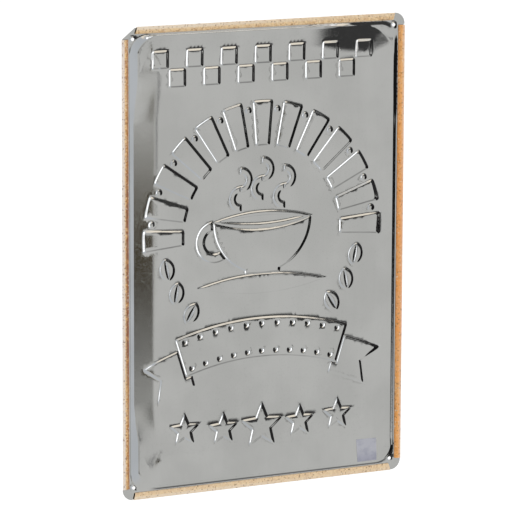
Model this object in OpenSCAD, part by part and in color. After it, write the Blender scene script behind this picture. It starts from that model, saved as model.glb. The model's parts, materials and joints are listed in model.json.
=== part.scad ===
// Pressed tin sign with a raised, embossed panel and hemmed edges.
// The printed front faces -Y, the bare back faces the wall on +Y, and +Z is up.
// The origin is the middle of the four nail holes, on the back of the flat rim.
// Every outline is drawn as seen from the front, with z = 0 at the wall and z towards the front,
// and turned up at the end.

/* [Sheet] */
// Width of the finished sign
sign_w = 200; // [150:1:300]
// Height of the finished sign
sign_h = 300; // [250:1:450]
// Thickness of the tinplate
sheet_t = 0.3; // [0.2:0.02:0.4]
// Radius of the four outer corners
corner_r = 7; // [5:0.1:10]

/* [Hems] */
// Width of a hem, from the rolled edge to its free edge
hem_w = 4.7; // [3.8:0.1:6]
// Thickness of the hemmed edge, from the front of the rim to the wall
hem_t = 1.4; // [1.1:0.05:1.8]
// Width of the lip that the free edge turns down to the sheet
hem_lip = 0.7; // [0.5:0.05:0.9]
// Gap between the end of a hem and the start of the rounded corner
hem_relief = 0.3; // [0.2:0.05:0.8]

/* [Nail holes] */
// Diameter of the four nail holes
hole_d = 2.2; // [1.6:0.1:3]
// Metal between a nail hole and the wall of the panel
hole_clear = 0.55; // [0.4:0.05:1]

/* [Panel] */
// Flat band between the hems and the panel
rim_band = 0.7; // [0.5:0.1:3]
// Radius of the panel's corners
panel_r = 12; // [9:0.1:14]
// Width of the sloping wall round the panel
step_w = 1.7; // [0.8:0.1:2.4]
// Height of the wall round the panel
step_h = 1; // [0.6:0.05:1.6]
// Flat ledge between the wall and the sloping border
ledge_w = 0.6; // [0.2:0.1:2]
// Width of the sloping border round the flat middle
slope_w = 17.5; // [12:0.1:21]
// Height that the border gains
slope_h = 2.2; // [1.2:0.1:3.5]
// Radius of the bend between the border and the flat middle
bend_r = 25; // [10:1:40]
// Radius of the border's outer corners
slope_r = 23.7; // [21:0.5:28]

/* [Embossing] */
// Bare margin between the panel's outline and the embossing
art_margin = 10.6; // [7:0.1:14]
// Further bare margin along the bottom
art_foot = 7; // [5:0.5:12]
// Height of the raised motifs
raise_high = 0.8; // [0.4:0.05:1]
// Height of the softer motifs
raise_low = 0.6; // [0.35:0.05:0.7]
// Groove that parts two motifs that meet
groove = 1.4; // [1:0.1:2.5]

/* [Checked strip] */
// Side of one field of the check
check = 12; // [9:0.5:15]
// Rows of the check
check_rows = 2; // [1:1:3]

/* [Sunburst and cup] */
// Length of a ray
ray_len = 28; // [18:1:34]
// Number of steps that the rays divide the half circle into
ray_steps = 12; // [8:1:16]
// Share of the circle that the rays cover
ray_share = 0.6; // [0.4:0.05:0.7]
// Radius of the pearls between the rays
pearl_r = 1.7; // [1:0.1:2.2]
// Free space between the rays and the cup
cup_gap = 4; // [2:0.5:8]

/* [Ribbon] */
// Height of the ribbon
ribbon_h = 25; // [18:1:32]
// Rise of the ribbon's arch
ribbon_rise = 11; // [6:1:16]
// Length of the two tails
tail_w = 23; // [18:1:28]
// Drop of the tails below the ribbon
tail_drop = 8; // [6:0.5:11]
// Radius of the studs along the ribbon
stud_r = 1.2; // [0.8:0.1:1.5]

/* [Stars] */
// Radius of the middle star
star_big = 15; // [10:0.5:17]
// Radius of the other stars
star_small = 10.5; // [7:0.5:12]
// Distance between neighbouring stars
star_pitch = 27.5; // [26:0.5:30]

/* [Label] */
// Width of the blank paper label on the back
label_w = 14; // [10:0.5:16]
// Height of the label
label_h = 14.5; // [10:0.5:16]
// Thickness of the label
label_t = 0.1; // [0.05:0.01:0.15]
// Distance from the side of the sign to the label
label_x = 17; // [14:0.5:24]
// Distance from the bottom of the sign to the label
label_z = 7.4; // [7.2:0.1:12]

/* [Hidden] */
$fn = 96;
over = 1;                              // overshoot of a cut
fine = 720;                            // facets of the large arcs
least = 0.01;                          // keeps the point of a wedge from closing
tin = [0.68, 0.68, 0.67];
print = [0.85, 0.66, 0.42];

roll_r = hem_t / 2;
rim_z = hem_t - sheet_t;               // back of the rim
hem_x = corner_r + hem_relief;         // where a hem ends, from the sign's corner

panel_in = hem_w + rim_band;
panel_w = sign_w - 2 * panel_in;
panel_h = sign_h - 2 * panel_in;
slope_in = step_w + ledge_w;
slope_a = asin(bend_r / norm([slope_w, bend_r - slope_h])) - atan((bend_r - slope_h) / slope_w);
hole_in = panel_in + panel_r - (panel_r + hole_clear + hole_d / 2) / sqrt(2);

art_w = panel_w - 2 * art_margin;
art_h = panel_h - 2 * art_margin - art_foot;
art_top = panel_h / 2 - art_margin;

// The strip, the sunburst, the ribbon and the stars stand in one column with equal gaps.
check_h = check_rows * check;
check_cols = floor(art_w / check);
ribbon_all = ribbon_h + ribbon_rise + tail_drop;
star_all = 2 * star_big;
least_gap = 3;
cup_drop = 0.52;                       // depth of cup and saucer below the rays' centre, of the radius
sun_free = (art_h - check_h - ribbon_all - star_all - 3 * least_gap) / (1 + cup_drop);
sun_r = min(art_w / 2, sun_free);
row_gap = (art_h - check_h - ribbon_all - star_all - sun_r * (1 + cup_drop)) / 3;
sun_z = art_top - check_h - row_gap - sun_r;
ribbon_z = sun_z - cup_drop * sun_r - row_gap;
star_z = ribbon_z - ribbon_all - row_gap - star_big;

// Cup and saucer fill the circle inside the rays.
cup_r = sun_r - ray_len - cup_gap;
bowl_r = 0.66 * cup_r;
bowl_z = 0.16 * cup_r;
mouth_h = 0.2 * cup_r;
foot_w = 0.46 * cup_r;
saucer_w = 1.72 * cup_r;
saucer_h = 0.24 * cup_r;
saucer_z = bowl_z - bowl_r - 0.6 * groove - saucer_h / 2;
handle_r = 0.25 * cup_r;
handle_t = 0.1 * cup_r;
steam_r = 0.115 * cup_r;
steam_t = 0.07 * cup_r;
steam_z = bowl_z + mouth_h / 2 + 2 * groove;

// Coffee beans follow the curve of the sunburst below its lowest rays.
bean_l = 14;
bean_w = 9.5;
bean_step = 14;
beans_a_side = 3;

// The ribbon's two edges are arcs about one point far below it.
deg = 180 / PI;
ribbon_half = art_w / 2 - tail_w;
ribbon_arc = (ribbon_half * ribbon_half + ribbon_rise * ribbon_rise) / (2 * ribbon_rise);
ribbon_c = ribbon_z - ribbon_arc - ribbon_h;
ribbon_a = asin(ribbon_half / (ribbon_arc + ribbon_h));
tail_a = asin((ribbon_half + tail_w) / (ribbon_arc + ribbon_h));
tail_in = 6 / (ribbon_arc + ribbon_h) * deg;
tail_notch = 8;                        // depth of the swallow tail
stud_in = 3.6;                         // studs from the ribbon's edge
studs = 11;

module turn_up() { translate([0, rim_z, 0]) rotate([90, 0, 0]) children(); }

// Rounded rectangle, from squares and true circles.
module rounded(w, h, r) {
    square([w, h - 2 * r], center = true);
    square([w - 2 * r, h], center = true);
    for (x = [-1, 1], y = [-1, 1]) translate([x * (w / 2 - r), y * (h / 2 - r)]) circle(r);
}

// Carries a half profile round a rounded rectangle. The profile's x is the distance from the
// centre of a corner, from 0 to r, and its y is the height. top is the height at x = 0.
module swept_pad(w, h, r, low, top) {
    translate([-w / 2 + r, -h / 2 + r, low]) cube([w - 2 * r, h - 2 * r, top - low]);
    for (side = [0, 180]) rotate(side) {
        translate([w / 2 - r, h / 2 - r, 0]) rotate([90, 0, 0]) linear_extrude(h - 2 * r) children();
        rotate(90) translate([h / 2 - r, w / 2 - r, 0]) rotate([90, 0, 0])
            linear_extrude(w - 2 * r) children();
    }
    for (x = [-1, 1], y = [-1, 1])
        translate([x * (w / 2 - r), y * (h / 2 - r), 0])
            rotate(x > 0 ? (y > 0 ? 0 : 270) : (y > 0 ? 90 : 180))
                rotate_extrude(angle = 90, $fn = fine / 4) children();
}

// Profile of the wall round the panel.
module step_profile(low) {
    polygon([[0, low], [panel_r, low], [panel_r, 0], [panel_r - step_w, step_h], [0, step_h]]);
}

// Profile of the sloping border: a straight slope, and an arc that leads into the flat middle.
module slope_profile() {
    low = -step_h / 2;
    inner = slope_r - slope_w;
    bend_x = inner + bend_r * sin(slope_a);
    bend_y = slope_h - bend_r * (1 - cos(slope_a));
    intersection() {
        union() {
            translate([inner, slope_h - bend_r]) circle(bend_r, $fn = fine);
            square([inner, slope_h]);
        }
        translate([0, low]) square([bend_x, slope_h - low]);
    }
    polygon([[0, low], [slope_r, low], [slope_r, 0], [bend_x, bend_y], [0, bend_y]]);
}

// The punch: what presses the panel into the sheet, from z = low up to the back of the panel.
module punch(low) {
    w = panel_w - 2 * slope_in;
    h = panel_h - 2 * slope_in;
    swept_pad(panel_w, panel_h, panel_r, low, step_h) step_profile(low);
    translate([0, 0, step_h]) swept_pad(w, h, slope_r, -step_h / 2, slope_h) slope_profile();
}

// The same punch, raised by h, but only where a motif is.
module raised(h, low) {
    intersection() {
        translate([0, 0, h]) punch(low - h);
        translate([0, 0, low]) linear_extrude(step_h + slope_h + h - low + over) children();
    }
}

// One wedge of a ring between two radii, at an angle from the vertical, with g added all round.
module wedge(r1, r2, angle, half, g) {
    reach = 2 * r2;
    side = reach * sin(half) + g * cos(half);
    end = reach * cos(half) + g * sin(half);
    intersection() {
        difference() {
            circle(r2 + g, $fn = fine);
            circle(r1 - g, $fn = fine);
        }
        rotate(-angle)
            polygon([[-side, end], [-g / cos(half) - least, 0], [g / cos(half) + least, 0], [side, end]]);
    }
}

// Lens between two arcs.
module lens(w, h, g) {
    r = (w * w / 4 + h * h / 4) / h;
    intersection() {
        translate([0, r - h / 2]) circle(r + g, $fn = fine);
        translate([0, h / 2 - r]) circle(r + g, $fn = fine);
    }
}

// Five-pointed star. Growing it by g scales it about its centre.
module star(r, g) {
    inner = 0.45;
    flat = r * inner * sin(36) / sqrt(1 + inner * inner - 2 * inner * cos(36));
    k = 1 + g / flat;
    polygon([
        for (i = [0:9]) let (s = k * r * (i % 2 == 0 ? 1 : inner)) [s * sin(36 * i), s * cos(36 * i)]
    ]);
}

module checks(g) {
    field = check - groove + 2 * g;
    for (row = [0:check_rows - 1], col = [0:check_cols - 1])
        if ((row + col) % 2 == 0)
            translate([(col - (check_cols - 1) / 2) * check, art_top - (row + 0.5) * check])
                square(field, center = true);
}

module rays(g) {
    step = 180 / ray_steps;
    translate([0, sun_z]) for (i = [0:ray_steps])
        wedge(sun_r - ray_len, sun_r, -90 + i * step, step * ray_share / 2, g);
}

module pearls(g) {
    step = 180 / ray_steps;
    translate([0, sun_z]) for (i = [0:ray_steps - 1])
        rotate(-90 + (i + 0.5) * step) translate([0, sun_r - 3 * pearl_r]) circle(pearl_r + g);
}

module bowl(g) {
    translate([0, sun_z + bowl_z]) difference() {
        circle(bowl_r + g);
        translate([0, bowl_r]) square([3 * bowl_r, 2 * bowl_r + 2 * g], center = true);
        lens(2 * bowl_r + 2 * groove, mouth_h + 2 * groove, -g);
    }
    translate([0, sun_z + bowl_z - bowl_r + foot_w / 8])
        square([foot_w + 2 * g, foot_w / 4 + 2 * g], center = true);
}

module handle(g) {
    translate([0, sun_z + bowl_z]) difference() {
        translate([0.98 * bowl_r, -0.36 * bowl_r]) difference() {
            circle(handle_r + g);
            circle(handle_r - handle_t - g);
        }
        circle(bowl_r + groove - g);
    }
}

module mouth(g) {
    translate([0, sun_z + bowl_z]) difference() {
        lens(2 * bowl_r, mouth_h, g);
        lens(1.7 * bowl_r, mouth_h * 0.5, -g);
    }
}

module saucer(g) {
    translate([0, sun_z + saucer_z]) lens(saucer_w, saucer_h, g);
}

// One curl of steam: two half rings that meet in an S.
module curl(g) {
    for (up = [0, 1]) translate([0, (2 * up + 1) * steam_r]) intersection() {
        difference() {
            circle(steam_r + steam_t / 2 + g);
            circle(steam_r - steam_t / 2 - g);
        }
        translate([(up == 0 ? 1 : -1) * steam_r, 0])
            square([2 * steam_r, 3 * steam_r], center = true);
    }
}

module bean(g) {
    difference() {
        lens(bean_l, bean_w, g);
        lens(bean_l - 2.5 * groove, 0.9 * groove, -g / 2);
    }
}

module beans(g) {
    mid = sun_r - ray_len / 2;
    for (side = [0, 1], i = [1:beans_a_side])
        mirror([side, 0]) translate([0, sun_z]) rotate(-(i + 0.15) * bean_step) translate([mid, 0])
            rotate(60 + 35 * i) bean(g);
}

module steam(g) {
    for (x = [-2.6, 0, 2.6])
        translate([x * steam_r, sun_z + steam_z + (x == 0 ? steam_r : 0)]) curl(g);
}

// Sector of the ribbon between two angles from the vertical.
module band(a1, a2, g) {
    grow = g / (ribbon_arc + ribbon_h) * deg;
    reach = 2 * (ribbon_arc + ribbon_h);
    low = a1 - grow;
    high = a2 + grow;
    intersection() {
        difference() {
            circle(ribbon_arc + ribbon_h + g, $fn = fine);
            circle(ribbon_arc - g, $fn = fine);
        }
        polygon([[0, 0], [reach * sin(low), reach * cos(low)], [reach * sin(high), reach * cos(high)]]);
    }
}

module ribbon(g) {
    translate([0, ribbon_c]) difference() {
        band(-ribbon_a, ribbon_a, g);
        for (i = [0:studs - 1], r = [ribbon_arc + stud_in, ribbon_arc + ribbon_h - stud_in])
            rotate((i - (studs - 1) / 2) * 2 * ribbon_a / studs) translate([0, r]) circle(stud_r - g);
    }
}

module tails(g) {
    mid = ribbon_arc + ribbon_h / 2;
    for (side = [0, 1]) mirror([side, 0]) difference() {
        translate([0, ribbon_c - tail_drop]) difference() {
            band(ribbon_a - tail_in, tail_a, g);
            rotate(-tail_a) translate([0, mid])
                polygon([[g - tail_notch, 0], [2 * over, ribbon_h / 2 - g], [2 * over, g - ribbon_h / 2]]);
        }
        translate([0, ribbon_c]) band(-ribbon_a, ribbon_a, groove - g);
    }
}

module stars(g) {
    translate([0, star_z]) for (i = [-2:2])
        translate([i * star_pitch, 0.6 * abs(i) * abs(i)]) star(i == 0 ? star_big : star_small, g);
}

module high_art(g) {
    rays(g);
    bowl(g);
    handle(g);
    ribbon(g);
    stars(g);
}

module low_art(g) {
    checks(g);
    pearls(g);
    mouth(g);
    saucer(g);
    beans(g);
    steam(g);
    tails(g);
}

// Flat rim: rounded corners, and straight sides that stop where the hems start to bend.
module rim_outline() {
    difference() {
        rounded(sign_w, sign_h, corner_r);
        for (x = [-1, 1]) translate([x * (sign_w - roll_r) / 2, 0])
            square([roll_r, sign_h - 2 * hem_x + 2 * hem_relief], center = true);
        for (y = [-1, 1]) translate([0, y * (sign_h - roll_r) / 2])
            square([sign_w - 2 * hem_x + 2 * hem_relief, roll_r], center = true);
    }
}

module sign_plate() {
    color(tin) turn_up() difference() {
        union() {
            translate([0, 0, rim_z]) linear_extrude(sheet_t) rim_outline();
            translate([0, 0, hem_t]) punch(0);
            translate([0, 0, hem_t]) raised(raise_high, 0) high_art(sheet_t);
            translate([0, 0, hem_t]) raised(raise_low, 0) low_art(sheet_t);
        }
        translate([0, 0, rim_z]) {
            punch(-over);
            raised(raise_high, -over) high_art(0);
            raised(raise_low, -over) low_art(0);
        }
        for (x = [-1, 1], y = [-1, 1])
            translate([x * (sign_w / 2 - hole_in), y * (sign_h / 2 - hole_in), rim_z - over])
                cylinder(h = sheet_t + 2 * over, d = hole_d);
    }
}

// A hem: half a rolled tube, the flap that lies back against the wall, and its turned-down lip.
// x runs outwards from the sign's edge, which is x = 0, y from the wall to the front.
module hem(length) {
    rotate([90, 0, 0]) translate([0, 0, -length / 2]) difference() {
        union() {
            translate([-roll_r, roll_r, 0]) cylinder(h = length, r = roll_r);
            linear_extrude(length)
                polygon([[-roll_r, 0], [hem_lip - hem_w, 0], [-hem_w, rim_z], [-roll_r, rim_z]]);
        }
        translate([-roll_r, roll_r, -over]) cylinder(h = length + 2 * over, r = roll_r - sheet_t);
        translate([0, 0, -over]) linear_extrude(length + 2 * over) polygon([
            [-roll_r, sheet_t],
            [hem_lip + sheet_t / 2 - hem_w, sheet_t],
            [1.5 * sheet_t - hem_w, rim_z],
            [1.5 * sheet_t - hem_w, hem_t + over],
            [-roll_r, hem_t + over]
        ]);
    }
}

module hem_side(x) {
    color(print) turn_up() rotate(x > 0 ? 0 : 180) translate([sign_w / 2, 0, 0]) hem(sign_h - 2 * hem_x);
}

module hem_end(y) {
    color(print) turn_up() rotate(y > 0 ? 90 : 270) translate([sign_h / 2, 0, 0]) hem(sign_w - 2 * hem_x);
}

// Paper label that follows the sloping border of the panel.
module back_label() {
    color([0.8, 0.78, 0.85]) turn_up() translate([0, 0, rim_z]) difference() {
        intersection() {
            punch(0);
            translate([label_x - sign_w / 2, label_z - sign_h / 2, 0])
                cube([label_w, label_h, hem_t + slope_h + step_h]);
        }
        translate([0, 0, -label_t]) punch(-over);
    }
}

sign_plate();
hem_end(1);  // hem_top
hem_end(-1);  // hem_bottom
hem_side(-1);  // hem_left
hem_side(1);  // hem_right
back_label();
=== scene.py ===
# %% [markdown]
# # A pressed tin sign, seen from behind
#
# The sign is one sheet of tinplate. The printed front is pressed outwards into a raised panel
# with a sloping border and embossed motifs, and the edges are folded back so that nobody is cut.
# Seen from behind, every raised motif is a shallow recess in bare, shiny metal.
# The construction comes from the packed frame, at its real size. This script adds what a
# press and a printer add: soft rounded walls, rolled hems, ink, paper and the look of tin.

import json
import math

import bpy
import numpy as np
from mathutils import Matrix, Vector
from mathutils.geometry import delaunay_2d_cdt


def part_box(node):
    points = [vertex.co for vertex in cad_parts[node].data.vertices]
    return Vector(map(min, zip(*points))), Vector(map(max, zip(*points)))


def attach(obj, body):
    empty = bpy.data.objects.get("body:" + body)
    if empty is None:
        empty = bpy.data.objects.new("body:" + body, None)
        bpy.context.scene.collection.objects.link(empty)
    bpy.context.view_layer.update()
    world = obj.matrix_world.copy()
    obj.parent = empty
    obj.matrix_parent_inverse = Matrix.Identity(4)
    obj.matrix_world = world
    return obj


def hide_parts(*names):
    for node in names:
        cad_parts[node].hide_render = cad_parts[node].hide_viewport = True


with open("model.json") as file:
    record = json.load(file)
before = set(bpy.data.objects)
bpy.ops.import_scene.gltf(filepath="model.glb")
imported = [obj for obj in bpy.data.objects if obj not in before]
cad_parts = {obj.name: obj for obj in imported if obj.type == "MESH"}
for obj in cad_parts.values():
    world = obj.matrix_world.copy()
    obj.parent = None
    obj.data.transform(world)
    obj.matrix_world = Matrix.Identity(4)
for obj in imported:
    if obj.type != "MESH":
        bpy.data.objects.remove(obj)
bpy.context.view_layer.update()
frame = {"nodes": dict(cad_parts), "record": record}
scene = bpy.context.scene
print("nodes:", ", ".join(sorted(frame["nodes"])))

# %% [markdown]
# ## Sizes
#
# Blender works in metres, but a press shop thinks in millimetres, so the numbers below are
# millimetres and one factor turns them into metres when a mesh is made. The outside sizes are
# read from the frame, so the looks always fit the construction. The sheet lies in the XZ plane.
# Its printed front faces -Y and its bare back faces +Y, towards the wall.

# %% Sizes of the sheet
MM = 0.001


def node_box(name):
    low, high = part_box(name)
    return np.array(low) / MM, np.array(high) / MM


plate_high = node_box("sign_plate")[1]
hem_low, hem_high = node_box("hem_right")
sign_w = 2 * hem_high[0]
sign_h = 2 * plate_high[2]
wall_y = hem_high[1]
hem_w = hem_high[0] - hem_low[0]
hem_end = sign_h / 2 - hem_high[2]

sheet_t = 0.3
hem_t = wall_y + sheet_t
roll_r = hem_t / 2
corner_r = 7.0
holes = frame["record"]["mounts"][0]["dims"]
hole_r = holes["hole_r_mm"]
hole_x = holes["spacing_x_mm"] / 2
hole_z = holes["spacing_y_mm"] / 2

panel_in = hem_w + 0.7
panel_x = sign_w / 2 - panel_in
panel_z = sign_h / 2 - panel_in
panel_r = 12.0
step_w = 1.7
step_h = 1.0
slope_in = step_w + 0.6
slope_w = 17.5
slope_h = 2.2
slope_r = 23.7
bend_r = 45.0
centre_h = bend_r - slope_h
slope_a = math.asin(bend_r / math.hypot(slope_w, centre_h)) - math.atan(centre_h / slope_w)
bend_w = bend_r * math.sin(slope_a)
print(f"sign {sign_w:.1f} x {sign_h:.1f} mm, hem {hem_w:.1f} mm wide and {hem_t:.1f} mm thick")
print(f"border slopes at {math.degrees(slope_a):.1f} degrees")

# %% [markdown]
# ## The camera
#
# A long lens far away keeps the two long sides of the sign almost parallel. Its place was
# worked out from the four outer corners of the sign in the photograph, whose real distances
# are known. It stands behind the sign, a little to one side and a little above.

# %% Camera
view_azimuth = math.radians(152.75)
view_height = math.radians(10.35)
view_roll = math.radians(0.228)
view_distance = 2.319
view_target = Vector((0.403, wall_y, -6.369)) * MM
view_lens = 247.92

to_camera = Vector((
    math.sin(view_azimuth) * math.cos(view_height),
    -math.cos(view_azimuth) * math.cos(view_height),
    math.sin(view_height),
))
level_right = Vector((0, 0, 1)).cross(to_camera).normalized()
level_up = to_camera.cross(level_right)
right = level_right * math.cos(view_roll) + level_up * math.sin(view_roll)
up = level_up * math.cos(view_roll) - level_right * math.sin(view_roll)

camera_data = bpy.data.cameras.new("camera")
camera_data.lens = view_lens
camera_data.sensor_width = 36
camera_data.clip_end = 100
camera = bpy.data.objects.new("camera", camera_data)
camera.matrix_world = Matrix((right, up, to_camera)).transposed().to_4x4()
camera.location = view_target + to_camera * view_distance
scene.collection.objects.link(camera)
scene.camera = camera
scene.view_settings.view_transform = "Standard"
print("camera at", [round(v, 3) for v in camera.location])

# %% [markdown]
# ## Shader maths in plain expressions
#
# A finish is a formula: speckles times wear, plus a stain. Node by node that is hard to read,
# so this small class wraps one socket and lets Python's own operators add the Math nodes.
# Colours go through Mix and Vector Math, because a Math node would turn them grey.


# %% A socket with operators
class Val:
    """One output socket. An expression on it adds the nodes that work it out."""

    def __init__(self, tree, socket):
        self.tree = tree
        self.socket = socket

    def node(self, kind, settings=None, out=0, **inputs):
        return add_node(self.tree, kind, settings, out, **inputs)

    def math(self, operation, *others):
        settings = {"operation": operation}
        values = {f"i{n}": v for n, v in enumerate((self, *others))}
        return self.node("ShaderNodeMath", settings, **values)

    def __add__(self, other):
        return self.math("ADD", other)

    __radd__ = __add__

    def __mul__(self, other):
        return self.math("MULTIPLY", other)

    __rmul__ = __mul__

    def __sub__(self, other):
        return self.math("SUBTRACT", other)

    def __rsub__(self, other):
        return (self * -1) + other

    def ramp(self, low, high):
        """0 below low, 1 above high and a smooth rise between them. It falls if low > high."""
        rising = low < high
        settings = {"interpolation_type": "SMOOTHSTEP"}
        limits = {"From_Min": min(low, high), "From_Max": max(low, high)}
        made = self.node("ShaderNodeMapRange", settings, Value=self, **limits)
        return made if rising else 1 - made


print("besides its operators, Val has", ", ".join(name for name in vars(Val) if name[0] != "_"))


# %% Nodes and colours
def add_node(tree, kind, settings=None, out=0, **inputs):
    """Adds any node. An input is a socket's name, or i and its number, with a value or a link."""
    node = tree.nodes.new(kind)
    for name, value in (settings or {}).items():
        setattr(node, name, value)
    for name, value in inputs.items():
        key = int(name[1:]) if name[0] == "i" and name[1:].isdigit() else name.replace("_", " ")
        socket = node.inputs[key]
        if isinstance(value, Val):
            tree.links.new(value.socket, socket)
        else:
            socket.default_value = value
    return Val(tree, node.outputs[out])


def rgba(colour):
    return colour if isinstance(colour, Val) else (*colour, 1)


def blend(factor, first, second):
    """A colour between first and second. Either may be a colour or a socket."""
    settings = {"data_type": "RGBA"}
    return factor.node("ShaderNodeMix", settings, out=2, i0=factor, i6=rgba(first), i7=rgba(second))


def to_linear(level):
    share = level / 255
    return share / 12.92 if level < 11 else ((share + 0.055) / 1.055) ** 2.4


def srgb(r, g, b):
    """A colour from 0 to 255, as a picture program shows it, as the linear one Blender uses."""
    return tuple(to_linear(level) for level in (r, g, b))


print("mid grey, 128 of 255, is", round(to_linear(128), 3), "as linear light")


# %% A new material
def new_material(name, **constants):
    """A material with a Principled shader. Returns the material, its node tree and the shader."""
    material = bpy.data.materials.new(name)
    material.use_nodes = True
    tree = material.node_tree
    shader = tree.nodes["Principled BSDF"]
    for key, value in constants.items():
        shader.inputs[key.replace("_", " ")].default_value = value
    return material, tree, shader


def place(tree, scale=(1, 1, 1)):
    """Where a point lies on the object, in millimetres, stretched by scale."""
    own = add_node(tree, "ShaderNodeTexCoord", out=3)
    factor = tuple(s / MM for s in scale)
    return own.node("ShaderNodeVectorMath", {"operation": "MULTIPLY"}, i0=own, i1=factor)


def noise(where, size, detail=2.0, rough=0.5):
    """Cloudy noise whose blobs are about size millimetres."""
    kind = "ShaderNodeTexNoise"
    return where.node(kind, Vector=where, Scale=1 / size, Detail=detail, Roughness=rough)


def join(value, shader, socket):
    value.tree.links.new(value.socket, shader.inputs[socket])


def bump(height, shader, strength, distance):
    made = height.node("ShaderNodeBump", Height=height, Strength=strength, Distance=distance)
    join(made, shader, "Normal")


print("place multiplies by", round(1 / MM), "so that a material can count in millimetres")


# %% [markdown]
# ## The studio
#
# Bare metal has no colour of its own to speak of: what it shows is the room. Cards and flags
# could stand round the sign, but each would be seen from a slightly different place by every
# part of it. So the room is painted on the world instead, by direction, as if it were far
# away: a grey wall gives the flat metal its even grey, a black flag the dark line on one side
# of every recess and a bright card the white line on the other. Only mirror-like rays see
# it. Soft light comes evenly from all sides and two faint lamps, and the camera sees white.


# %% Floor
def stage_mesh(name, verts, faces, material):
    mesh = bpy.data.meshes.new(name)
    mesh.from_pydata(verts, [], faces)
    mesh.materials.append(material)
    piece = bpy.data.objects.new(name, mesh)
    scene.collection.objects.link(piece)
    return piece


floor_z = -1.2
floor_half = 40.0
floor_glow = 0.45


def light_path(tree, ray):
    """1 where the point is seen by that kind of ray, and 0 elsewhere."""
    path = tree.nodes.new("ShaderNodeLightPath")
    return Val(tree, path.outputs[ray])


def floor_material():
    material, tree, shader = new_material("pale_floor", Base_Color=(0.8, 0.8, 0.8, 1), Roughness=0.9)
    shader.inputs["Emission Color"].default_value = (1, 1, 1, 1)
    join(light_path(tree, "Is Camera Ray") * floor_glow, shader, "Emission Strength")
    return material


def build_floor():
    h = floor_half
    corners = [(-h, -h, floor_z), (h, -h, floor_z), (h, h, floor_z), (-h, h, floor_z)]
    piece = stage_mesh("floor", corners, [(0, 1, 2, 3)], floor_material())
    piece.visible_glossy = False


build_floor()
print("floor", 2 * floor_half, "m wide,", -floor_z, "m below the sign's middle")

# %% [markdown]
# ### The painted room
#
# Two angles say where a mirrored ray goes: `side` is measured from straight behind the sign
# towards the picture's right, and `rise` is the height above the horizon, both in degrees.
# Flat metal mirrors a side of 27, at a rise of -7 near the sign's top and -14 near its foot.
# A surface that is tilted by some angle mirrors what lies twice that angle away.

# %% Directions as two angles
world = bpy.data.worlds.new("studio")
scene.world = world
world.use_nodes = True
world_tree = world.node_tree
direction = add_node(world_tree, "ShaderNodeTexCoord")
split = world_tree.nodes.new("ShaderNodeSeparateXYZ")
world_tree.links.new(direction.socket, split.inputs[0])
to_x, to_y, to_z = (Val(world_tree, socket) for socket in split.outputs)
side = (to_x * -1).math("ARCTAN2", to_y) * math.degrees(1)
rise = to_z.math("ARCSINE") * math.degrees(1)


def between(angle, low, high, soft):
    """1 between two values, with edges that are soft wide on each side."""
    return angle.ramp(low - soft, low + soft) * angle.ramp(high + soft, high - soft)


def grey(level):
    return (level, level, level)


print("side and rise are worked out by", len(world_tree.nodes) - 2, "nodes of the world")


# %% [markdown]
# The sloping border on the left tilts by 8 degrees, so it mirrors every side from 27 to 43. A
# broad dark band is painted there, which the border shows as a long soft shadow. The band is
# nearly as light as the metal above, black and a little brown in its middle, and greyer below.

# %% The dark band
band_light = 0.62
band_drop = 0.605
band_foot = 0.28
band_end = 0.26
band_level = band_light - rise.ramp(-8.6, -9.0) * band_drop
band_level = band_level + rise.ramp(-11.0, -11.5) * band_foot + rise.ramp(-12.1, -13.1) * band_end
warm = rise.ramp(-11.3, -10.3) * rise.ramp(-8.6, -9.1)
band_red = band_level + warm * 0.035
band_green = band_level * (1 - warm * 0.08) + warm * 0.02
band_blue = band_level * (0.96 - warm * 0.36)
band_colour = band_level.node("ShaderNodeCombineColor", i0=band_red, i1=band_green, i2=band_blue)

band_to = rise.ramp(-8.2, -9.1) * 12 + 38
band_soft = rise.ramp(-10.4, -9.6)
band = side.ramp(32, 38) * band_soft + side.ramp(35.5, 39.5) * (1 - band_soft)
band = band * (band_to - side).ramp(-1.5, 1.5) * between(rise, -16, -5, 1.0)
streak = between(side, 30.8, 33.2, 0.7) * between(rise, -9.0, -7.2, 0.3)
print("black band from a rise of -9 to -11, and a grey of", band_light, "above it")

# %% [markdown]
# The border along the top tilts down and mirrors a dark patch that lies low in the room. The
# patch ends softly for most of the sign's width, and crisply where the border turns into the
# corner, so its upper limit drops and sharpens there. Steeper metal mirrors a second dark area
# that lies lower still.

# %% The dark patch
soft_limit = -14.0
crisp_drop = 4.4
soft_share = 0.22
crisp_share = 1.7
crisp = side.ramp(26, 18)
top_limit = crisp * -crisp_drop + soft_limit
top_patch = ((top_limit - rise) * (crisp * crisp_share + soft_share)).ramp(0, 1)
top_patch = top_patch * (rise.ramp(-37, -35) + crisp).ramp(0, 1) * between(side, 12, 39, 1.0)
low_dark = between(rise, -61, -42, 1.0) * between(side, 20, 39, 1.5)
print("dark patch below a rise of", soft_limit, "and, in the corner,", soft_limit - crisp_drop)

# %% [markdown]
# The rest of the room is a list of masks and colours, laid over each other like paper: walls,
# a window, a pale table with a warm cloth, and black flags for the dark edge of every recess.

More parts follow.
